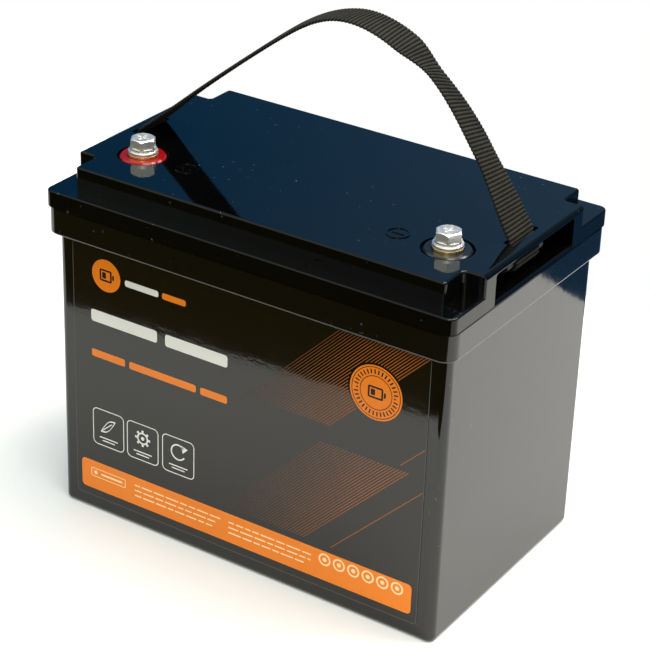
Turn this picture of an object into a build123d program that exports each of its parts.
from build123d import *
import os

os.makedirs("parts", exist_ok=True)

# A lithium battery pack: a two-piece plastic case with four prismatic cells inside, two bolted
# terminals and a webbing carrying strap. +Z is up, +X runs to the right end, the label faces -Y.
# All sizes are in millimetres.

# Overall sizes
case_length = 260.0
case_width = 168.0
case_height = 212.5
strap_rise = 96.5

# Case shell
wall = 4.0
floor_thickness = 4.0
overhang_end = 4.0
overhang_side = 6.5
plateau_rise = 12.3
flange_height = 9.8
collar_height = 16.1
collar_corner = 8.0
flange_corner = 5.0
body_corner = 4.5
inner_corner = 3.0
bottom_round = 3.0
edge_round = 1.0
collar_round = 1.4
seam_round = 0.4

# Lid top and its end niches
plateau_setback = 12.0
notch_length = 12.5
notch_depth = 18.5
lid_skin = 4.0
plateau_corner = 2.0
top_round = 1.4
lintel_round = 2.8
niche_depth = 17.0
niche_width = 84.0
lintel_thickness = 3.2
niche_wall = 3.0
niche_sill = 2.6
sill_round = 2.0
tongue_depth = 6.0
tongue_thickness = 4.0
tongue_gap = 0.4
seal_height = 2.0
seal_drop = 2.0
seal_inset = 1.2

# Carrying strap
strap_width = 25.0
strap_thickness = 2.0
slot_clearance = 1.5
slot_inset = 9.5
hinge_gap = 0.6
pin_radius = 3.5
pin_length = 38.0
loop_gap = 0.1
loop_drop = 2.1

# Terminals
terminal_x = 98.0
terminal_y = -36.7
recess_radius = 14.5
recess_depth = 3.0
ring_radius = 13.0
ring_proud = 0.4
disc_radius = 8.5
disc_thickness = 3.8
disc_proud = 1.8
disc_seat = 0.5
neck_radius = 6.5
boss_radius = 12.5
boss_drop = 7.5
terminal_gap = 0.15
bolt_radius = 4.0
bolt_length = 16.0
bolt_clearance = 0.15
head_flats = 13.0
head_height = 5.3
head_chamfer = 1.0
tip_chamfer = 0.8
cross_length = 7.0
cross_width = 1.6
cross_depth = 1.5
flat_washer_radius = 8.3
flat_washer_thickness = 1.6
spring_washer_radius = 7.2
spring_washer_thickness = 2.0
clamp_nut_flats = 17.0
clamp_nut_height = 6.0

# Polarity marks on the lid
mark_x = 68.0
mark_radius = 6.5
mark_line = 0.9
mark_bar = 7.0
mark_height = 0.5
gate_mark_x = 39.0
gate_mark_inset = 8.0
gate_mark_radius = 1.8
gate_mark_depth = 0.3

# Front label
label_thickness = 0.25
label_side_margin = 10.0
label_foot = 9.0
label_top_gap = 2.0

# Cells and what holds them
bottom_pad_thickness = 3.0
pad_gap = 1.0
spacer_thickness = 1.5
end_plate_thickness = 5.0
band_thickness = 0.8
band_height = 16.0
end_room = 14.75
side_room = 8.5
cell_headroom = 28.4
cell_corner = 2.5
post_inset = 20.0
post_radius = 6.5
post_height = 4.0
stud_radius = 3.0
stud_height = 10.0
busbar_width = 22.0
busbar_thickness = 2.0
stud_clearance = 0.3
nut_flats = 10.0
nut_height = 5.0
lug_thickness = 2.0
lug_barrel_radius = 4.9
lug_barrel_length = 12.0
cable_radius = 4.0
wire_radius = 0.8

# Battery management board
tray_length = 124.0
tray_thickness = 2.0
tray_side_gap = 2.0
tray_lift = 16.0
standoff_radius = 3.5
board_length = 112.0
board_margin = 7.0
board_thickness = 1.6
board_lift = 3.0
heat_sink_length = 62.0
heat_sink_width = 40.0
heat_sink_base = 3.0
fin_height = 7.0
fin_thickness = 1.6
fin_count = 8
heat_sink_x = -15.0
transistor_height = 3.0
pillar_radius = 3.5
pillar_inset = 4.5
screw_radius = 1.5
screw_clearance = 0.15
screw_length = 10.0
screw_head_radius = 2.8
screw_head_height = 2.0
spacer_radius = 3.2
board_inset = 5.0
board_post_x = 42.0
lug_width = 9.0
cell_lug_reach = 12.0
terminal_lug_reach = 13.5
lug_barrel_base = 2.0
cable_gap = 0.1
cable_bight_y = 2.0
connector_depth = 8.0
connector_length = 20.0
connector_height = 8.0
bead_radius = 2.5

# Levels and shared distances worked out from the sizes above
ledge_z = case_height - plateau_rise
seam_z = ledge_z - flange_height
collar_z = seam_z - collar_height
body_length = case_length - 2 * overhang_end
body_width = case_width - 2 * overhang_side
inner_length = body_length - 2 * wall
inner_width = body_width - 2 * wall
tongue_length = inner_length - 2 * tongue_gap
tongue_width = inner_width - 2 * tongue_gap
tongue_z = seam_z - tongue_depth
seal_seat_length = tongue_length - 2 * seal_inset
seal_seat_width = tongue_width - 2 * seal_inset
niche_back = case_length / 2 - niche_depth
niche_top = case_height - lintel_thickness
niche_floor = seam_z + niche_sill
niche_height = niche_top - niche_floor
hollow_length = 2 * (niche_back - niche_wall)
hollow_width = case_width - 2 * plateau_setback - 2 * lid_skin
slot_x = case_length / 2 - slot_inset
slot_width = 2 * strap_thickness + 2
slot_length = strap_width + 2 * slot_clearance
loop_radius = pin_radius + loop_gap + strap_thickness
pin_z = niche_top - loop_radius - loop_drop
hinge_z = case_height + hinge_gap + strap_width / 2
recess_z = case_height - recess_depth
disc_top = case_height + disc_proud
disc_z = disc_top - disc_thickness
boss_z = case_height - lid_skin - boss_drop
clamp_nut_z = boss_z - lug_thickness - clamp_nut_height
neck_z = clamp_nut_z - 1.0
flat_washer_z = disc_top
spring_washer_z = flat_washer_z + flat_washer_thickness
head_z = spring_washer_z + spring_washer_thickness
head_top_z = head_z + head_height
head_corner_radius = head_flats / 3**0.5 + 0.1
bolt_tip_z = head_z - bolt_length
bolt_hole_z = bolt_tip_z - 2.5
mark_y = terminal_y

cell_z = floor_thickness + bottom_pad_thickness
cell_top = seam_z - cell_headroom
cell_thickness = (inner_length - 2 * end_room - 2 * end_plate_thickness - 3 * spacer_thickness) / 4
cell_pitch = cell_thickness + spacer_thickness
cell_width = inner_width - 2 * side_room
first_cell_x = -1.5 * cell_pitch
post_y = cell_width / 2 - post_inset
stack_half = 2 * cell_thickness + 1.5 * spacer_thickness + end_plate_thickness
post_top = cell_top + post_height
busbar_top = post_top + busbar_thickness
tray_z = cell_top + tray_lift
tray_width = inner_width / 2 + 2.5
tray_y = hollow_width / 2 - tray_width / 2 - tray_side_gap
board_width = tray_width - 2 * board_margin
board_z = tray_z + tray_thickness + board_lift
board_top = board_z + board_thickness
heat_sink_z = board_top + transistor_height
board_lug_z = board_top + post_height
cell_lug_z = busbar_top + 1.0
cell_lug_y = cell_lug_reach - post_y
lug_z = boss_z - lug_thickness / 2
board_lug_mid_z = board_lug_z + lug_thickness / 2
wire_start_x = -board_length / 2 - 0.4
wire_start_z = board_top + connector_height / 2
cell_xs = [first_cell_x + i * cell_pitch for i in range(4)]
post_spots = [(x, s * post_y) for x in cell_xs for s in (-1, 1)]
pillar_half_x = tray_length / 2 - pillar_inset
pillar_half_y = tray_width / 2 - pillar_inset
pillar_spots = [(i * pillar_half_x, tray_y + j * pillar_half_y) for i in (-1, 1) for j in (-1, 1)]
board_half_x = board_length / 2 - board_inset
board_half_y = board_width / 2 - board_inset
board_spots = [(i * board_half_x, tray_y + j * board_half_y) for i in (-1, 1) for j in (-1, 1)]
board_post_spots = [(board_post_x, tray_y - 19), (board_post_x, tray_y + 19)]

# Container: an open box with a thick collar around its mouth
with BuildPart() as container:
    with BuildSketch(Plane.XY.offset(collar_z)):
        RectangleRounded(case_length, case_width, collar_corner)
    extrude(amount=collar_height)
    fillet(container.edges().group_by(Axis.Z)[0], collar_round)
    with BuildSketch(Plane.XY):
        RectangleRounded(body_length, body_width, body_corner)
    extrude(amount=seam_z)
    fillet(container.edges().group_by(Axis.Z)[0], bottom_round)
    with BuildSketch(Plane.XY.offset(floor_thickness)):
        RectangleRounded(inner_length, inner_width, inner_corner)
    extrude(amount=seam_z, mode=Mode.SUBTRACT)
container.part.label = "container"
export_step(container.part, "parts/container.step")

# Lid: tongue, flange and stepped plateau, hollow underneath, with a niche and a slot at each end
with BuildPart() as lid:
    with BuildSketch(Plane.XY.offset(seam_z)):
        RectangleRounded(case_length, case_width, flange_corner)
    extrude(amount=flange_height)
    fillet(lid.edges().group_by(Axis.Z)[-1], edge_round)
    fillet(lid.edges().group_by(Axis.Z)[0], seam_round)
    with BuildSketch(Plane.XY.offset(seam_z)):
        Rectangle(case_length, case_width - 2 * plateau_setback - 2 * notch_depth)
        Rectangle(case_length - 2 * notch_length, case_width - 2 * plateau_setback)
        fillet(vertices(), plateau_corner)
    extrude(amount=case_height - seam_z)
    fillet(lid.edges().group_by(Axis.Z)[-1].filter_by(Axis.X), top_round)
    with BuildSketch(Plane.XZ.offset(-case_width / 2)):
        with Locations((0, case_height / 2)):
            Rectangle(case_length, case_height)
        fillet(vertices().group_by(Axis.Y)[-1], lintel_round)
    extrude(amount=case_width, mode=Mode.INTERSECT)
    with BuildSketch(Plane.XY.offset(tongue_z)):
        RectangleRounded(tongue_length, tongue_width, inner_corner - tongue_gap)
    extrude(amount=tongue_depth)
    with BuildSketch(Plane.XY.offset(tongue_z)):
        RectangleRounded(hollow_length, hollow_width, inner_corner)
    extrude(amount=case_height - lid_skin - tongue_z, mode=Mode.SUBTRACT)
    with BuildSketch(Plane.XY.offset(boss_z)):
        with Locations((-terminal_x, terminal_y), (terminal_x, terminal_y)):
            Circle(boss_radius)
    extrude(amount=case_height - lid_skin - boss_z)
    with BuildSketch(Plane.XY.offset(recess_z)):
        with Locations((-terminal_x, terminal_y), (terminal_x, terminal_y)):
            Circle(recess_radius)
            Circle(disc_radius - disc_seat, mode=Mode.SUBTRACT)
    extrude(amount=recess_depth, mode=Mode.SUBTRACT)
    with BuildSketch(Plane.XY.offset(disc_z)):
        with Locations((-terminal_x, terminal_y), (terminal_x, terminal_y)):
            Circle(disc_radius + terminal_gap)
    extrude(amount=recess_depth, mode=Mode.SUBTRACT)
    with BuildSketch(Plane.XY.offset(boss_z)):
        with Locations((-terminal_x, terminal_y), (terminal_x, terminal_y)):
            Circle(neck_radius + terminal_gap)
    extrude(amount=case_height - boss_z, mode=Mode.SUBTRACT)
    with BuildSketch(Plane.YZ.offset(niche_back)):
        with Locations((0, niche_floor + niche_height / 2)):
            Rectangle(niche_width, niche_height)
        fillet(vertices().group_by(Axis.Y)[-1], plateau_corner)
    extrude(amount=niche_depth, mode=Mode.SUBTRACT)
    with BuildSketch(Plane.YZ.offset(-case_length / 2)):
        with Locations((0, niche_floor + niche_height / 2)):
            Rectangle(niche_width, niche_height)
        fillet(vertices().group_by(Axis.Y)[-1], plateau_corner)
    extrude(amount=niche_depth, mode=Mode.SUBTRACT)
    floor_edges = lid.edges().filter_by(Axis.Y)
    sill_edges = floor_edges.filter_by_position(Axis.Z, niche_floor - 0.01, niche_floor + 0.01)
    fillet(sill_edges.group_by(Axis.X)[0] + sill_edges.group_by(Axis.X)[-1], sill_round)
    with BuildSketch(Plane.XY.offset(niche_top - 1)):
        with Locations((-slot_x, 0), (slot_x, 0)):
            Rectangle(slot_width, slot_length)
    extrude(amount=lintel_thickness + 2, mode=Mode.SUBTRACT)
    with BuildSketch(Plane.XY.offset(seam_z - seal_height - seal_drop)):
        Rectangle(inner_length, inner_width)
        RectangleRounded(seal_seat_length, seal_seat_width, inner_corner - tongue_gap, mode=Mode.SUBTRACT)
    extrude(amount=seal_height, mode=Mode.SUBTRACT)
    with BuildSketch(Plane.XY.offset(case_height)):
        with Locations((-mark_x, mark_y), (mark_x, mark_y)):
            Circle(mark_radius)
            Circle(mark_radius - mark_line, mode=Mode.SUBTRACT)
            Rectangle(mark_bar, mark_line * 1.4)
        with Locations((-mark_x, mark_y)):
            Rectangle(mark_line * 1.4, mark_bar)
    extrude(amount=mark_height)
    with BuildSketch(Plane.XY.offset(ledge_z - gate_mark_depth)):
        with Locations((gate_mark_x, -case_width / 2 + gate_mark_inset)):
            Circle(gate_mark_radius)
    extrude(amount=gate_mark_depth, mode=Mode.SUBTRACT)
lid.part.label = "lid"
export_step(lid.part, "parts/lid.step")

# Seal bead in the tongue's outer groove, pressed against the container's inner wall
with BuildPart() as lid_seal:
    with BuildSketch(Plane.XY.offset(seam_z - seal_height - seal_drop)):
        RectangleRounded(inner_length, inner_width, inner_corner)
        RectangleRounded(seal_seat_length, seal_seat_width, inner_corner - tongue_gap, mode=Mode.SUBTRACT)
    extrude(amount=seal_height)
lid_seal.part.label = "lid_seal"
export_step(lid_seal.part, "parts/lid_seal.step")

# Front label: a thin film on the container's front face, below the collar
with BuildPart() as front_label:
    with BuildSketch(Plane.XZ.offset(body_width / 2)):
        with Locations((0, (label_foot + collar_z - label_top_gap) / 2)):
            RectangleRounded(body_length - 2 * label_side_margin, collar_z - label_top_gap - label_foot, 3)
    extrude(amount=label_thickness)
front_label.part.label = "front_label"
export_step(front_label.part, "parts/front_label.step")

# Positive terminal: a brass disc and neck with a blind hole for its bolt
with BuildPart() as positive_terminal:
    with BuildSketch(Plane.XY.offset(neck_z)):
        with Locations((-terminal_x, terminal_y)):
            Circle(neck_radius)
    extrude(amount=disc_top - neck_z)
    with BuildSketch(Plane.XY.offset(disc_z)):
        with Locations((-terminal_x, terminal_y)):
            Circle(disc_radius)
    extrude(amount=disc_thickness)
    with BuildSketch(Plane.XY.offset(bolt_hole_z)):
        with Locations((-terminal_x, terminal_y)):
            Circle(bolt_radius + bolt_clearance)
    extrude(amount=disc_top - bolt_hole_z, mode=Mode.SUBTRACT)
positive_terminal.part.label = "positive_terminal"
export_step(positive_terminal.part, "parts/positive_terminal.step")

# Negative terminal: the same post at the other end
with BuildPart() as negative_terminal:
    with BuildSketch(Plane.XY.offset(neck_z)):
        with Locations((terminal_x, terminal_y)):
            Circle(neck_radius)
    extrude(amount=disc_top - neck_z)
    with BuildSketch(Plane.XY.offset(disc_z)):
        with Locations((terminal_x, terminal_y)):
            Circle(disc_radius)
    extrude(amount=disc_thickness)
    with BuildSketch(Plane.XY.offset(bolt_hole_z)):
        with Locations((terminal_x, terminal_y)):
            Circle(bolt_radius + bolt_clearance)
    extrude(amount=disc_top - bolt_hole_z, mode=Mode.SUBTRACT)
negative_terminal.part.label = "negative_terminal"
export_step(negative_terminal.part, "parts/negative_terminal.step")

# Coloured ring around the positive disc
with BuildPart() as positive_ring:
    with BuildSketch(Plane.XY.offset(recess_z)):
        with Locations((-terminal_x, terminal_y)):
            Circle(ring_radius)
            Circle(disc_radius + 2 * terminal_gap, mode=Mode.SUBTRACT)
    extrude(amount=recess_depth + ring_proud)
    chamfer(positive_ring.edges().group_by(Axis.Z)[-1].sort_by(SortBy.LENGTH)[-1], 0.8)
positive_ring.part.label = "positive_ring"
export_step(positive_ring.part, "parts/positive_ring.step")

# Coloured ring around the negative disc
with BuildPart() as negative_ring:
    with BuildSketch(Plane.XY.offset(recess_z)):
        with Locations((terminal_x, terminal_y)):
            Circle(ring_radius)
            Circle(disc_radius + 2 * terminal_gap, mode=Mode.SUBTRACT)
    extrude(amount=recess_depth + ring_proud)
    chamfer(negative_ring.edges().group_by(Axis.Z)[-1].sort_by(SortBy.LENGTH)[-1], 0.8)
negative_ring.part.label = "negative_ring"
export_step(negative_ring.part, "parts/negative_ring.step")

# Flat washers
with BuildPart() as positive_flat_washer:
    with BuildSketch(Plane.XY.offset(flat_washer_z)):
        with Locations((-terminal_x, terminal_y)):
            Circle(flat_washer_radius)
            Circle(bolt_radius + 2 * bolt_clearance, mode=Mode.SUBTRACT)
    extrude(amount=flat_washer_thickness)
positive_flat_washer.part.label = "positive_flat_washer"
export_step(positive_flat_washer.part, "parts/positive_flat_washer.step")

with BuildPart() as negative_flat_washer:
    with BuildSketch(Plane.XY.offset(flat_washer_z)):
        with Locations((terminal_x, terminal_y)):
            Circle(flat_washer_radius)
            Circle(bolt_radius + 2 * bolt_clearance, mode=Mode.SUBTRACT)
    extrude(amount=flat_washer_thickness)
negative_flat_washer.part.label = "negative_flat_washer"
export_step(negative_flat_washer.part, "parts/negative_flat_washer.step")

# Split spring washers, drawn pressed flat with their cut
with BuildPart() as positive_spring_washer:
    with BuildSketch(Plane.XY.offset(spring_washer_z)):
        with Locations((-terminal_x, terminal_y)):
            Circle(spring_washer_radius)
            Circle(bolt_radius + 2 * bolt_clearance, mode=Mode.SUBTRACT)
        with Locations((-terminal_x + spring_washer_radius, terminal_y)):
            Rectangle(spring_washer_radius, 0.8, mode=Mode.SUBTRACT)
    extrude(amount=spring_washer_thickness)
positive_spring_washer.part.label = "positive_spring_washer"
export_step(positive_spring_washer.part, "parts/positive_spring_washer.step")

with BuildPart() as negative_spring_washer:
    with BuildSketch(Plane.XY.offset(spring_washer_z)):
        with Locations((terminal_x, terminal_y)):
            Circle(spring_washer_radius)
            Circle(bolt_radius + 2 * bolt_clearance, mode=Mode.SUBTRACT)
        with Locations((terminal_x + spring_washer_radius, terminal_y)):
            Rectangle(spring_washer_radius, 0.8, mode=Mode.SUBTRACT)
    extrude(amount=spring_washer_thickness)
negative_spring_washer.part.label = "negative_spring_washer"
export_step(negative_spring_washer.part, "parts/negative_spring_washer.step")

# Terminal bolts: plain shank at thread size, hexagon head, shallow cross recess
with BuildPart() as positive_bolt:
    with BuildSketch(Plane.XY.offset(bolt_tip_z)):
        with Locations((-terminal_x, terminal_y)):
            Circle(bolt_radius)
    extrude(amount=bolt_length)
    with BuildSketch(Plane.XY.offset(head_z)):
        with Locations((-terminal_x, terminal_y)):
            RegularPolygon(head_flats / 2, 6, major_radius=False)
    extrude(amount=head_height)
    with BuildSketch(Plane.XZ.offset(-terminal_y)):
        with BuildLine():
            Polyline(
                (-terminal_x, bolt_tip_z),
                (-terminal_x + bolt_radius - tip_chamfer, bolt_tip_z),
                (-terminal_x + bolt_radius, bolt_tip_z + tip_chamfer),
                (-terminal_x + head_corner_radius, head_z),
                (-terminal_x + head_corner_radius, head_top_z - head_chamfer),
                (-terminal_x + head_flats / 2 - head_chamfer / 2, head_top_z),
                (-terminal_x, head_top_z),
                close=True,
            )
        make_face()
    revolve(axis=Axis((-terminal_x, terminal_y, 0), (0, 0, 1)), mode=Mode.INTERSECT)
    with BuildSketch(Plane.XY.offset(head_top_z - cross_depth)):
        with Locations((-terminal_x, terminal_y)):
            Rectangle(cross_length, cross_width)
            Rectangle(cross_width, cross_length)
    extrude(amount=cross_depth, mode=Mode.SUBTRACT)
positive_bolt.part.label = "positive_bolt"
export_step(positive_bolt.part, "parts/positive_bolt.step")

with BuildPart() as negative_bolt:
    with BuildSketch(Plane.XY.offset(bolt_tip_z)):
        with Locations((terminal_x, terminal_y)):
            Circle(bolt_radius)
    extrude(amount=bolt_length)
    with BuildSketch(Plane.XY.offset(head_z)):
        with Locations((terminal_x, terminal_y)):
            RegularPolygon(head_flats / 2, 6, major_radius=False)
    extrude(amount=head_height)
    with BuildSketch(Plane.XZ.offset(-terminal_y)):
        with BuildLine():
            Polyline(
                (terminal_x, bolt_tip_z),
                (terminal_x + bolt_radius - tip_chamfer, bolt_tip_z),
                (terminal_x + bolt_radius, bolt_tip_z + tip_chamfer),
                (terminal_x + head_corner_radius, head_z),
                (terminal_x + head_corner_radius, head_top_z - head_chamfer),
                (terminal_x + head_flats / 2 - head_chamfer / 2, head_top_z),
                (terminal_x, head_top_z),
                close=True,
            )
        make_face()
    revolve(axis=Axis((terminal_x, terminal_y, 0), (0, 0, 1)), mode=Mode.INTERSECT)
    with BuildSketch(Plane.XY.offset(head_top_z - cross_depth)):
        with Locations((terminal_x, terminal_y)):
            Rectangle(cross_length, cross_width)
            Rectangle(cross_width, cross_length)
    extrude(amount=cross_depth, mode=Mode.SUBTRACT)
negative_bolt.part.label = "negative_bolt"
export_step(negative_bolt.part, "parts/negative_bolt.step")

# Nuts that clamp the terminal posts and the cable lugs under the lid
with BuildPart() as clamp_nuts:
    with BuildSketch(Plane.XY.offset(clamp_nut_z)):
        with Locations((-terminal_x, terminal_y), (terminal_x, terminal_y)):
            RegularPolygon(clamp_nut_flats / 2, 6, major_radius=False)
            Circle(neck_radius + terminal_gap, mode=Mode.SUBTRACT)
    extrude(amount=clamp_nut_height)
clamp_nuts.part.label = "clamp_nuts"
export_step(clamp_nuts.part, "parts/clamp_nuts.step")

# Carrying strap above the lid: a band swept along its arch, with round ends about the swing axis
with BuildPart() as strap:
    with BuildLine(Plane.XZ) as arch:
        Spline(
            (-slot_x, case_height),
            (-0.74 * slot_x, case_height + 0.285 * strap_rise),
            (-0.33 * slot_x, case_height + 0.705 * strap_rise),
            (0.12 * slot_x, case_height + strap_rise),
            (0.51 * slot_x, case_height + 0.815 * strap_rise),
            (0.77 * slot_x, case_height + 0.46 * strap_rise),
            (slot_x, case_height),
        )
    with BuildSketch(Plane(origin=arch.line @ 0, x_dir=(0, 1, 0), z_dir=arch.line % 0)):
        Rectangle(strap_width, strap_thickness)
    sweep(path=arch.line)
    with BuildSketch(Plane.YZ.offset(-case_length / 2)):
        with Locations((0, hinge_z)):
            Circle(strap_width / 2)
            Rectangle(strap_width, 2 * strap_rise, align=(Align.CENTER, Align.MIN))
    extrude(amount=case_length, mode=Mode.INTERSECT)
strap.part.label = "strap"
export_step(strap.part, "parts/strap.step")

# Strap ends: each passes down its slot and is sewn back on itself around a pin
with BuildPart() as strap_end_left:
    with BuildSketch(Plane.XZ.offset(-strap_width / 2)):
        with Locations((-slot_x, pin_z)):
            Circle(loop_radius)
            Rectangle(2 * strap_thickness, case_height - pin_z, align=(Align.CENTER, Align.MIN))
            Circle(pin_radius + loop_gap, mode=Mode.SUBTRACT)
    extrude(amount=strap_width)
strap_end_left.part.label = "strap_end_left"
export_step(strap_end_left.part, "parts/strap_end_left.step")

with BuildPart() as strap_end_right:
    with BuildSketch(Plane.XZ.offset(-strap_width / 2)):
        with Locations((slot_x, pin_z)):
            Circle(loop_radius)
            Rectangle(2 * strap_thickness, case_height - pin_z, align=(Align.CENTER, Align.MIN))
            Circle(pin_radius + loop_gap, mode=Mode.SUBTRACT)
    extrude(amount=strap_width)
strap_end_right.part.label = "strap_end_right"
export_step(strap_end_right.part, "parts/strap_end_right.step")

# Pins inside the sewn loops, too long to pull up through the slots
with BuildPart() as strap_pin_left:
    with BuildSketch(Plane.XZ.offset(-pin_length / 2)):
        with Locations((-slot_x, pin_z)):
            Circle(pin_radius)
    extrude(amount=pin_length)
strap_pin_left.part.label = "strap_pin_left"
export_step(strap_pin_left.part, "parts/strap_pin_left.step")

with BuildPart() as strap_pin_right:
    with BuildSketch(Plane.XZ.offset(-pin_length / 2)):
        with Locations((slot_x, pin_z)):
            Circle(pin_radius)
    extrude(amount=pin_length)
strap_pin_right.part.label = "strap_pin_right"
export_step(strap_pin_right.part, "parts/strap_pin_right.step")

# Foam under the cells
with BuildPart() as bottom_pad:
    with BuildSketch(Plane.XY.offset(floor_thickness)):
        RectangleRounded(inner_length - 2 * pad_gap, inner_width - 2 * pad_gap, inner_corner)
    extrude(amount=bottom_pad_thickness)
bottom_pad.part.label = "bottom_pad"
export_step(bottom_pad.part, "parts/bottom_pad.step")

# Four prismatic cells, each a sealed can
with BuildPart() as cell_1:
    with BuildSketch(Plane.XY.offset(cell_z)):
        with Locations((cell_xs[0], 0)):
            RectangleRounded(cell_thickness, cell_width, cell_corner)
    extrude(amount=cell_top - cell_z)
cell_1.part.label = "cell_1"
export_step(cell_1.part, "parts/cell_1.step")

with BuildPart() as cell_2:
    with BuildSketch(Plane.XY.offset(cell_z)):
        with Locations((cell_xs[1], 0)):
            RectangleRounded(cell_thickness, cell_width, cell_corner)
    extrude(amount=cell_top - cell_z)
cell_2.part.label = "cell_2"
export_step(cell_2.part, "parts/cell_2.step")

with BuildPart() as cell_3:
    with BuildSketch(Plane.XY.offset(cell_z)):
        with Locations((cell_xs[2], 0)):
            RectangleRounded(cell_thickness, cell_width, cell_corner)
    extrude(amount=cell_top - cell_z)
cell_3.part.label = "cell_3"
export_step(cell_3.part, "parts/cell_3.step")

with BuildPart() as cell_4:
    with BuildSketch(Plane.XY.offset(cell_z)):
        with Locations((cell_xs[3], 0)):
            RectangleRounded(cell_thickness, cell_width, cell_corner)
    extrude(amount=cell_top - cell_z)
cell_4.part.label = "cell_4"
export_step(cell_4.part, "parts/cell_4.step")

# Cell posts: a low round pad with a stud, two on each cell
with BuildPart() as cell_posts:
    with BuildSketch(Plane.XY.offset(cell_top)):
        with Locations(*post_spots):
            Circle(post_radius)
    extrude(amount=post_height)
    with BuildSketch(Plane.XY.offset(cell_top)):
        with Locations(*post_spots):
            Circle(stud_radius)
    extrude(amount=post_height + stud_height)
cell_posts.part.label = "cell_posts"
export_step(cell_posts.part, "parts/cell_posts.step")

# Insulating sheets between the cells
with BuildPart() as cell_spacers:
    with BuildSketch(Plane.XY.offset(cell_z)):
        with Locations((-cell_pitch, 0), (0, 0), (cell_pitch, 0)):
            Rectangle(spacer_thickness, cell_width)
    extrude(amount=cell_top - cell_z)
cell_spacers.part.label = "cell_spacers"
export_step(cell_spacers.part, "parts/cell_spacers.step")

# End plates at both ends of the cell stack
with BuildPart() as end_plate_left:
    with BuildSketch(Plane.XY.offset(cell_z)):
        with Locations((-stack_half + end_plate_thickness / 2, 0)):
            Rectangle(end_plate_thickness, cell_width)
    extrude(amount=cell_top - cell_z)
end_plate_left.part.label = "end_plate_left"
export_step(end_plate_left.part, "parts/end_plate_left.step")

with BuildPart() as end_plate_right:
    with BuildSketch(Plane.XY.offset(cell_z)):
        with Locations((stack_half - end_plate_thickness / 2, 0)):
            Rectangle(end_plate_thickness, cell_width)
    extrude(amount=cell_top - cell_z)
end_plate_right.part.label = "end_plate_right"
export_step(end_plate_right.part, "parts/end_plate_right.step")

# Steel bands around the stack
with BuildPart() as band_lower:
    with BuildSketch(Plane.XY.offset(cell_z + (cell_top - cell_z) / 4)):
        Rectangle(2 * stack_half + 2 * band_thickness, cell_width + 2 * band_thickness)
        Rectangle(2 * stack_half, cell_width, mode=Mode.SUBTRACT)
    extrude(amount=band_height)
band_lower.part.label = "band_lower"
export_step(band_lower.part, "parts/band_lower.step")

with BuildPart() as band_upper:
    with BuildSketch(Plane.XY.offset(cell_z + 3 * (cell_top - cell_z) / 4 - band_height)):
        Rectangle(2 * stack_half + 2 * band_thickness, cell_width + 2 * band_thickness)
        Rectangle(2 * stack_half, cell_width, mode=Mode.SUBTRACT)
    extrude(amount=band_height)
band_upper.part.label = "band_upper"
export_step(band_upper.part, "parts/band_upper.step")

# Foam blocks between the stack and the container's walls
with BuildPart() as end_foam:
    with BuildSketch(Plane.XY.offset(cell_z)):
        with Locations((-(stack_half + band_thickness + inner_length / 2) / 2, 0)):
            Rectangle(inner_length / 2 - stack_half - band_thickness - pad_gap, cell_width - 20)
        with Locations(((stack_half + band_thickness + inner_length / 2) / 2, 0)):
            Rectangle(inner_length / 2 - stack_half - band_thickness - pad_gap, cell_width - 20)
    extrude(amount=cell_top - cell_z)
end_foam.part.label = "end_foam"
export_step(end_foam.part, "parts/end_foam.step")

with BuildPart() as side_foam:
    with BuildSketch(Plane.XY.offset(cell_z)):
        with Locations((0, -(cell_width / 2 + band_thickness + inner_width / 2) / 2)):
            Rectangle(2 * stack_half - 20, (inner_width - cell_width) / 2 - band_thickness - pad_gap)
        with Locations((0, (cell_width / 2 + band_thickness + inner_width / 2) / 2)):
            Rectangle(2 * stack_half - 20, (inner_width - cell_width) / 2 - band_thickness - pad_gap)
    extrude(amount=cell_top - cell_z)
side_foam.part.label = "side_foam"
export_step(side_foam.part, "parts/side_foam.step")

# Busbars that join the cells in series
with BuildPart() as busbar_1:
    with BuildSketch(Plane.XY.offset(post_top)):
        with Locations(((cell_xs[0] + cell_xs[1]) / 2, post_y)):
            RectangleRounded(cell_pitch + busbar_width, busbar_width, 3)
        with Locations((cell_xs[0], post_y), (cell_xs[1], post_y)):
            Circle(stud_radius + stud_clearance, mode=Mode.SUBTRACT)
    extrude(amount=busbar_thickness)
busbar_1.part.label = "busbar_1"
export_step(busbar_1.part, "parts/busbar_1.step")

with BuildPart() as busbar_2:
    with BuildSketch(Plane.XY.offset(post_top)):
        with Locations(((cell_xs[1] + cell_xs[2]) / 2, -post_y)):
            RectangleRounded(cell_pitch + busbar_width, busbar_width, 3)
        with Locations((cell_xs[1], -post_y), (cell_xs[2], -post_y)):
            Circle(stud_radius + stud_clearance, mode=Mode.SUBTRACT)
    extrude(amount=busbar_thickness)
busbar_2.part.label = "busbar_2"
export_step(busbar_2.part, "parts/busbar_2.step")

with BuildPart() as busbar_3:
    with BuildSketch(Plane.XY.offset(post_top)):
        with Locations(((cell_xs[2] + cell_xs[3]) / 2, post_y)):
            RectangleRounded(cell_pitch + busbar_width, busbar_width, 3)
        with Locations((cell_xs[2], post_y), (cell_xs[3], post_y)):
            Circle(stud_radius + stud_clearance, mode=Mode.SUBTRACT)
    extrude(amount=busbar_thickness)
busbar_3.part.label = "busbar_3"
export_step(busbar_3.part, "parts/busbar_3.step")

# Nuts on the eight studs; busbars and lugs are equally thick
with BuildPart() as post_nuts:
    with BuildSketch(Plane.XY.offset(busbar_top)):
        with Locations(*post_spots):
            RegularPolygon(nut_flats / 2, 6, major_radius=False)
            Circle(stud_radius + stud_clearance, mode=Mode.SUBTRACT)
    extrude(amount=nut_height)
post_nuts.part.label = "post_nuts"
export_step(post_nuts.part, "parts/post_nuts.step")

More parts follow.
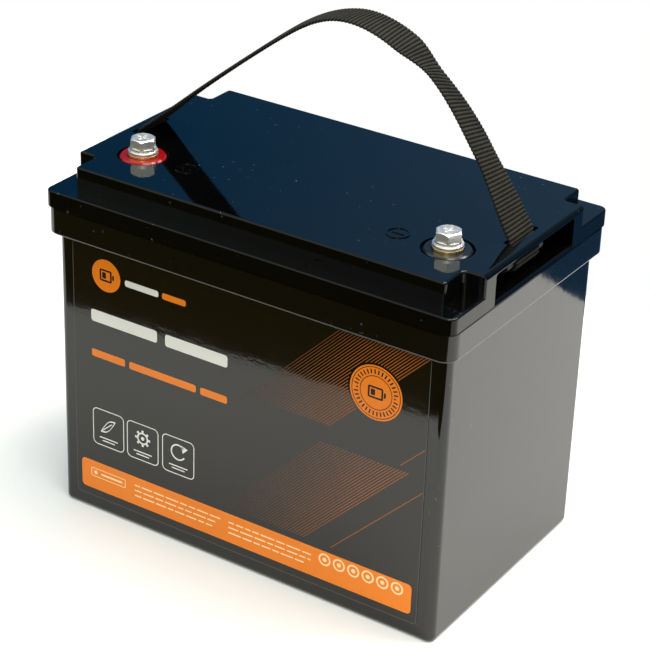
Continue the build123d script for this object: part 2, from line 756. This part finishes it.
# Insulating tray over the cells and the pillars that carry it
with BuildPart() as tray_pillars:
    with BuildSketch(Plane.XY.offset(cell_top)):
        with Locations(*pillar_spots):
            Circle(pillar_radius)
    extrude(amount=tray_lift)
    with BuildSketch(Plane.XY.offset(tray_z - screw_length + tray_thickness - 0.5)):
        with Locations(*pillar_spots):
            Circle(screw_radius + screw_clearance)
    extrude(amount=screw_length, mode=Mode.SUBTRACT)
tray_pillars.part.label = "tray_pillars"
export_step(tray_pillars.part, "parts/tray_pillars.step")

with BuildPart() as tray:
    with BuildSketch(Plane.XY.offset(tray_z)):
        with Locations((0, tray_y)):
            RectangleRounded(tray_length, tray_width, 3)
        with Locations(*pillar_spots):
            Circle(screw_radius + screw_clearance, mode=Mode.SUBTRACT)
        with Locations(*board_spots):
            Circle(screw_radius + screw_clearance, mode=Mode.SUBTRACT)
    extrude(amount=tray_thickness)
tray.part.label = "tray"
export_step(tray.part, "parts/tray.step")

# Screws that hold the tray to its pillars
with BuildPart() as tray_screws:
    with BuildSketch(Plane.XY.offset(tray_z + tray_thickness)):
        with Locations(*pillar_spots):
            Circle(screw_head_radius)
    extrude(amount=screw_head_height)
    with BuildSketch(Plane.XY.offset(tray_z + tray_thickness - screw_length)):
        with Locations(*pillar_spots):
            Circle(screw_radius)
    extrude(amount=screw_length)
tray_screws.part.label = "tray_screws"
export_step(tray_screws.part, "parts/tray_screws.step")

# Battery management board on four short spacers
with BuildPart() as board_spacers:
    with BuildSketch(Plane.XY.offset(tray_z + tray_thickness)):
        with Locations(*board_spots):
            Circle(spacer_radius)
            Circle(screw_radius + screw_clearance, mode=Mode.SUBTRACT)
    extrude(amount=board_lift)
board_spacers.part.label = "board_spacers"
export_step(board_spacers.part, "parts/board_spacers.step")

with BuildPart() as board:
    with BuildSketch(Plane.XY.offset(board_z)):
        with Locations((0, tray_y)):
            RectangleRounded(board_length, board_width, 2)
        with Locations(*board_spots):
            Circle(screw_radius + screw_clearance, mode=Mode.SUBTRACT)
    extrude(amount=board_thickness)
board.part.label = "board"
export_step(board.part, "parts/board.step")

with BuildPart() as board_screws:
    with BuildSketch(Plane.XY.offset(board_top)):
        with Locations(*board_spots):
            Circle(screw_head_radius)
    extrude(amount=screw_head_height)
    with BuildSketch(Plane.XY.offset(tray_z)):
        with Locations(*board_spots):
            Circle(screw_radius)
    extrude(amount=board_top - tray_z)
board_screws.part.label = "board_screws"
export_step(board_screws.part, "parts/board_screws.step")

# Power transistors in two rows under the heat sink
with BuildPart() as transistors:
    with BuildSketch(Plane.XY.offset(board_top)):
        with Locations((heat_sink_x, tray_y)):
            with GridLocations(heat_sink_length / 4, heat_sink_width / 2, 4, 2):
                Rectangle(10, 12)
    extrude(amount=transistor_height)
transistors.part.label = "transistors"
export_step(transistors.part, "parts/transistors.step")

# Finned heat sink
with BuildPart() as heat_sink:
    with BuildSketch(Plane.XY.offset(heat_sink_z)):
        with Locations((heat_sink_x, tray_y)):
            Rectangle(heat_sink_length, heat_sink_width)
    extrude(amount=heat_sink_base)
    with BuildSketch(Plane.XY.offset(heat_sink_z)):
        with Locations((heat_sink_x, tray_y)):
            with GridLocations(0, (heat_sink_width - fin_thickness) / (fin_count - 1), 1, fin_count):
                Rectangle(heat_sink_length, fin_thickness)
    extrude(amount=heat_sink_base + fin_height)
heat_sink.part.label = "heat_sink"
export_step(heat_sink.part, "parts/heat_sink.step")

# Two power posts on the board, each with a stud, a nut and a lug
with BuildPart() as board_posts:
    with BuildSketch(Plane.XY.offset(board_top)):
        with Locations(*board_post_spots):
            Circle(post_radius)
    extrude(amount=post_height)
    with BuildSketch(Plane.XY.offset(board_top)):
        with Locations(*board_post_spots):
            Circle(stud_radius)
    extrude(amount=post_height + stud_height)
board_posts.part.label = "board_posts"
export_step(board_posts.part, "parts/board_posts.step")

with BuildPart() as board_nuts:
    with BuildSketch(Plane.XY.offset(board_lug_z + lug_thickness)):
        with Locations(*board_post_spots):
            RegularPolygon(nut_flats / 2, 6, major_radius=False)
            Circle(stud_radius + stud_clearance, mode=Mode.SUBTRACT)
    extrude(amount=nut_height)
board_nuts.part.label = "board_nuts"
export_step(board_nuts.part, "parts/board_nuts.step")

# Lugs: a flat eye, a tongue and a barrel with its cable's bore
with BuildPart() as terminal_lugs:
    with BuildSketch(Plane.XY.offset(boss_z - lug_thickness)):
        with Locations((-terminal_x, terminal_y), (terminal_x, terminal_y)):
            Circle(disc_radius + 0.5)
            Rectangle(lug_width, terminal_lug_reach, align=(Align.CENTER, Align.MIN))
            Circle(neck_radius + terminal_gap, mode=Mode.SUBTRACT)
    extrude(amount=lug_thickness)
    with BuildSketch(Plane.XZ.offset(-(terminal_y + terminal_lug_reach))):
        with Locations((-terminal_x, lug_z), (terminal_x, lug_z)):
            Circle(lug_barrel_radius)
    extrude(amount=-lug_barrel_length)
    with BuildSketch(Plane.XZ.offset(-(terminal_y + terminal_lug_reach + lug_barrel_base))):
        with Locations((-terminal_x, lug_z), (terminal_x, lug_z)):
            Circle(cable_radius + cable_gap)
    extrude(amount=-lug_barrel_length, mode=Mode.SUBTRACT)
terminal_lugs.part.label = "terminal_lugs"
export_step(terminal_lugs.part, "parts/terminal_lugs.step")

with BuildPart() as cell_lugs:
    with BuildSketch(Plane.XY.offset(post_top)):
        with Locations((cell_xs[0], -post_y), (cell_xs[3], -post_y)):
            Circle(post_radius + 1.5)
            Rectangle(lug_width, cell_lug_reach, align=(Align.CENTER, Align.MIN))
            Circle(stud_radius + stud_clearance, mode=Mode.SUBTRACT)
    extrude(amount=lug_thickness)
    with BuildSketch(Plane.XZ.offset(-cell_lug_y)):
        with Locations((cell_xs[0], cell_lug_z), (cell_xs[3], cell_lug_z)):
            Circle(lug_barrel_radius)
    extrude(amount=-lug_barrel_length)
    with BuildSketch(Plane.XZ.offset(-(cell_lug_y + lug_barrel_base))):
        with Locations((cell_xs[0], cell_lug_z), (cell_xs[3], cell_lug_z)):
            Circle(cable_radius + cable_gap)
    extrude(amount=-lug_barrel_length, mode=Mode.SUBTRACT)
cell_lugs.part.label = "cell_lugs"
export_step(cell_lugs.part, "parts/cell_lugs.step")

with BuildPart() as board_lugs:
    with BuildSketch(Plane.XY.offset(board_lug_z)):
        with Locations(*board_post_spots):
            Circle(post_radius + 1.5)
            Rectangle(cell_lug_reach, lug_width, align=(Align.MIN, Align.CENTER))
            Circle(stud_radius + stud_clearance, mode=Mode.SUBTRACT)
    extrude(amount=lug_thickness)
    with BuildSketch(Plane.YZ.offset(board_post_x + cell_lug_reach)):
        with Locations(*[(y, board_lug_mid_z) for x, y in board_post_spots]):
            Circle(lug_barrel_radius)
    extrude(amount=lug_barrel_length)
    with BuildSketch(Plane.YZ.offset(board_post_x + cell_lug_reach + lug_barrel_base)):
        with Locations(*[(y, board_lug_mid_z) for x, y in board_post_spots]):
            Circle(cable_radius + cable_gap)
    extrude(amount=lug_barrel_length, mode=Mode.SUBTRACT)
board_lugs.part.label = "board_lugs"
export_step(board_lugs.part, "parts/board_lugs.step")

# Power cables, each from the bottom of one lug's bore to the other's
with BuildPart() as positive_cable:
    with BuildLine() as positive_run:
        Line(
            (-terminal_x, terminal_y + terminal_lug_reach + lug_barrel_base, lug_z),
            (-terminal_x, terminal_y + terminal_lug_reach + lug_barrel_length, lug_z),
        )
        Spline(
            (-terminal_x, terminal_y + terminal_lug_reach + lug_barrel_length, lug_z),
            ((cell_xs[0] - terminal_x) / 2, cable_bight_y, (boss_z + post_top) / 2),
            (cell_xs[0], cell_lug_y + lug_barrel_length, cell_lug_z),
            tangents=((0, 1, 0), (0, -1, 0)),
        )
        Line(
            (cell_xs[0], cell_lug_y + lug_barrel_length, cell_lug_z),
            (cell_xs[0], cell_lug_y + lug_barrel_base, cell_lug_z),
        )
    with BuildSketch(Plane(origin=positive_run.line @ 0, z_dir=(0, 1, 0))):
        Circle(cable_radius)
    sweep(path=positive_run.line)
positive_cable.part.label = "positive_cable"
export_step(positive_cable.part, "parts/positive_cable.step")

with BuildPart() as cell_cable:
    with BuildLine() as cell_run:
        Line(
            (cell_xs[3], cell_lug_y + lug_barrel_base, cell_lug_z),
            (cell_xs[3], cell_lug_y + lug_barrel_length, cell_lug_z),
        )
        Spline(
            (cell_xs[3], cell_lug_y + lug_barrel_length, cell_lug_z),
            (cell_xs[3] + 7, (board_post_spots[0][1] + cell_lug_y) / 2, (post_top + board_lug_z) / 2),
            (board_post_x + cell_lug_reach + lug_barrel_length, board_post_spots[0][1], board_lug_mid_z),
            tangents=((0, 1, 0), (-1, 0, 0)),
        )
        Line(
            (board_post_x + cell_lug_reach + lug_barrel_length, board_post_spots[0][1], board_lug_mid_z),
            (board_post_x + cell_lug_reach + lug_barrel_base, board_post_spots[0][1], board_lug_mid_z),
        )
    with BuildSketch(Plane(origin=cell_run.line @ 0, z_dir=(0, 1, 0))):
        Circle(cable_radius)
    sweep(path=cell_run.line)
cell_cable.part.label = "cell_cable"
export_step(cell_cable.part, "parts/cell_cable.step")

with BuildPart() as negative_cable:
    with BuildLine() as negative_run:
        Line(
            (terminal_x, terminal_y + terminal_lug_reach + lug_barrel_base, lug_z),
            (terminal_x, terminal_y + terminal_lug_reach + lug_barrel_length, lug_z),
        )
        Spline(
            (terminal_x, terminal_y + terminal_lug_reach + lug_barrel_length, lug_z),
            (board_post_x + cell_lug_reach + lug_barrel_length, board_post_spots[1][1], board_lug_mid_z),
            tangents=((0, 1, 0), (-1, 0, 0)),
        )
        Line(
            (board_post_x + cell_lug_reach + lug_barrel_length, board_post_spots[1][1], board_lug_mid_z),
            (board_post_x + cell_lug_reach + lug_barrel_base, board_post_spots[1][1], board_lug_mid_z),
        )
    with BuildSketch(Plane(origin=negative_run.line @ 0, z_dir=(0, 1, 0))):
        Circle(cable_radius)
    sweep(path=negative_run.line)
negative_cable.part.label = "negative_cable"
export_step(negative_cable.part, "parts/negative_cable.step")

# Sense connector on the board's left edge and the five wires that leave it
with BuildPart() as sense_connector:
    with BuildSketch(Plane.XY.offset(board_top)):
        with Locations((-board_length / 2 + connector_depth / 2, tray_y)):
            Rectangle(connector_depth, connector_length)
    extrude(amount=connector_height)
sense_connector.part.label = "sense_connector"
export_step(sense_connector.part, "parts/sense_connector.step")

with BuildPart() as sense_wires:
    with BuildLine() as wire_1:
        Spline(
            (wire_start_x, tray_y + 7, wire_start_z),
            (-tray_length / 2 - 6, post_y - 5, tray_z + 4),
            (-tray_length / 2 - 2, post_y, busbar_top + 4),
            (-tray_length / 2 + 6, post_y, busbar_top + wire_radius),
        )
    with BuildSketch(Plane(origin=wire_1.line @ 0, z_dir=wire_1.line % 0)):
        Circle(wire_radius)
    sweep(path=wire_1.line)
    with BuildLine() as wire_2:
        Spline(
            (wire_start_x, tray_y + 3.5, wire_start_z),
            (-tray_length / 2 - 7, tray_y + 3, tray_z + 3),
            (-tray_length / 2 - 2, tray_y, tray_z - 6),
            (0, tray_y - 2, tray_z - 5),
            (cell_xs[2] - 6, post_y - 5, busbar_top + wire_radius),
        )
    with BuildSketch(Plane(origin=wire_2.line @ 0, z_dir=wire_2.line % 0)):
        Circle(wire_radius)
    sweep(path=wire_2.line)
    with BuildLine() as wire_3:
        Spline(
            (wire_start_x, tray_y, wire_start_z),
            (-tray_length / 2 - 8, tray_y - 3, tray_z + 3),
            (-tray_length / 2 - 2, tray_y - 10, tray_z - 5),
            (-10, -10, tray_z - 5),
            (0, 6 - post_y, busbar_top + wire_radius),
        )
    with BuildSketch(Plane(origin=wire_3.line @ 0, z_dir=wire_3.line % 0)):
        Circle(wire_radius)
    sweep(path=wire_3.line)
    with BuildLine() as wire_4:
        Spline(
            (wire_start_x, tray_y - 3.5, wire_start_z),
            (-tray_length / 2 - 8, tray_y - 9, tray_z + 3),
            (-tray_length / 2 - 8, 0, tray_z - 6),
            (cell_xs[0] + 9, -14, busbar_top + 3),
            (cell_xs[0] + 7, 7 - post_y, busbar_top + 3),
            (cell_xs[0] + 3.5, 6 - post_y, busbar_top + wire_radius),
        )
    with BuildSketch(Plane(origin=wire_4.line @ 0, z_dir=wire_4.line % 0)):
        Circle(wire_radius)
    sweep(path=wire_4.line)
    with BuildLine() as wire_5:
        Spline(
            (wire_start_x, tray_y - 7, wire_start_z),
            (-tray_length / 2 - 7, tray_y - 14, tray_z + 2),
            (-tray_length / 2 - 1, 9, tray_z - 6),
            (0, 4, tray_z - 9),
            (pillar_half_x, 5, tray_z - 8),
            (cell_xs[3] - 9, -14, busbar_top + 3),
            (cell_xs[3] - 7, 7 - post_y, busbar_top + 3),
            (cell_xs[3] - 3.5, 6 - post_y, busbar_top + wire_radius),
        )
    with BuildSketch(Plane(origin=wire_5.line @ 0, z_dir=wire_5.line % 0)):
        Circle(wire_radius)
    sweep(path=wire_5.line)
sense_wires.part.label = "sense_wires"
export_step(sense_wires.part, "parts/sense_wires.step")

# Temperature bead taped to the second cell
with BuildPart() as temperature_bead:
    with BuildSketch(Plane.YZ.offset(cell_xs[1] - 5)):
        with Locations((-12, cell_top + bead_radius)):
            Circle(bead_radius)
    extrude(amount=10)
temperature_bead.part.label = "temperature_bead"
export_step(temperature_bead.part, "parts/temperature_bead.step")
